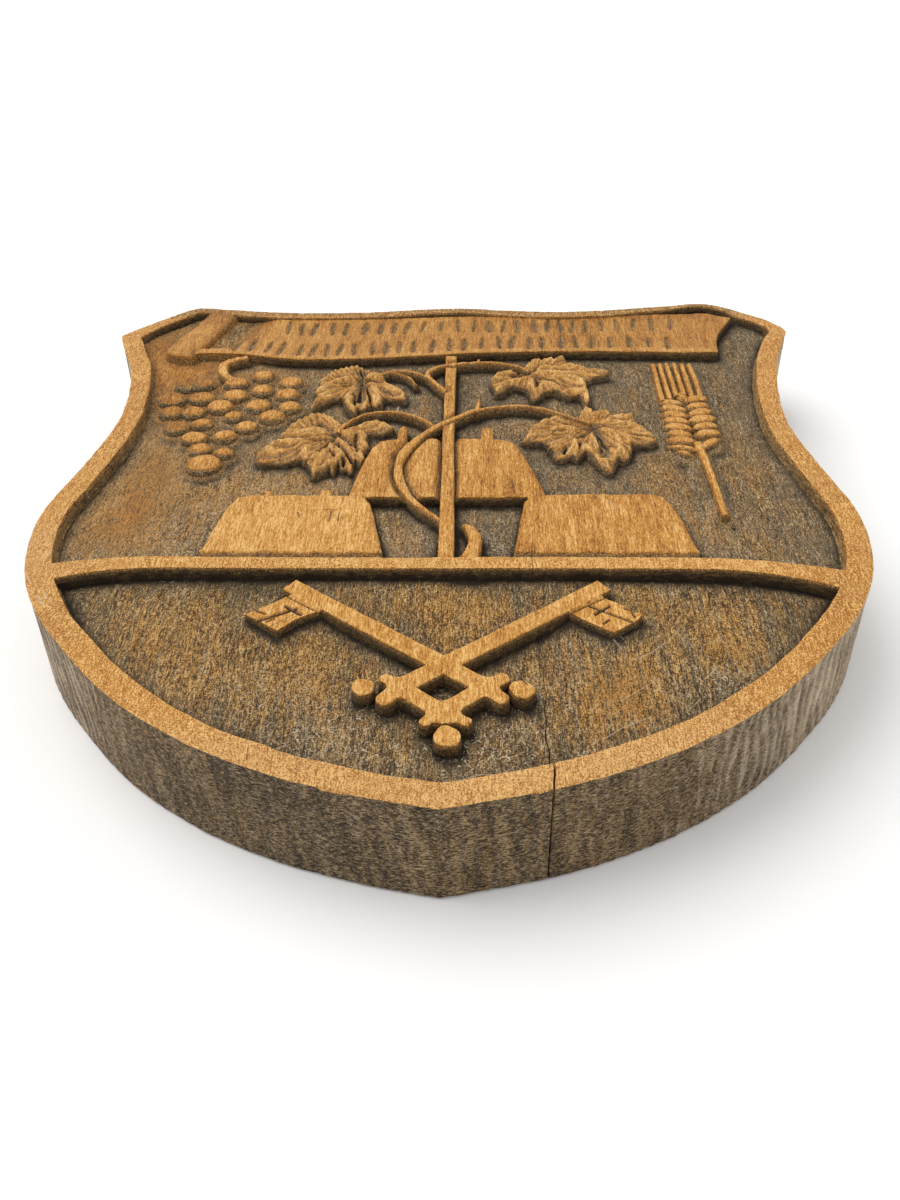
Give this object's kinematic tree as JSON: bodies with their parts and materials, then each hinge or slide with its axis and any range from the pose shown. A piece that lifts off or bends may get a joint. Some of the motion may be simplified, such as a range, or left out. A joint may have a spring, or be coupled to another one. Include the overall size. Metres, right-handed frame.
{
  "type": "carved coat of arms",
  "caption": "Waisted shield-shaped wooden wall plaque with a raised rim and bar; a banner, grapevine, mounds, wheat ear and crossed keys are carved in low relief.",
  "frame": {"origin": "middle of the flat back, where the plaque meets the wall", "axes": "+Z out of the carved face, +Y to the shield's top edge, +X to the viewer's right when it hangs upright"},
  "size_m": [0.3596, 0.3731, 0.045],
  "materials": {
    "carved_wood": "aged stained hardwood with a dull wax sheen, worn golden on the raised carving, grey-brown in the grounds and sides, near black in the recesses"
  },
  "bodies": {
    "root": {"carved_shield": "carved_wood"}
  },
  "joints": []
}
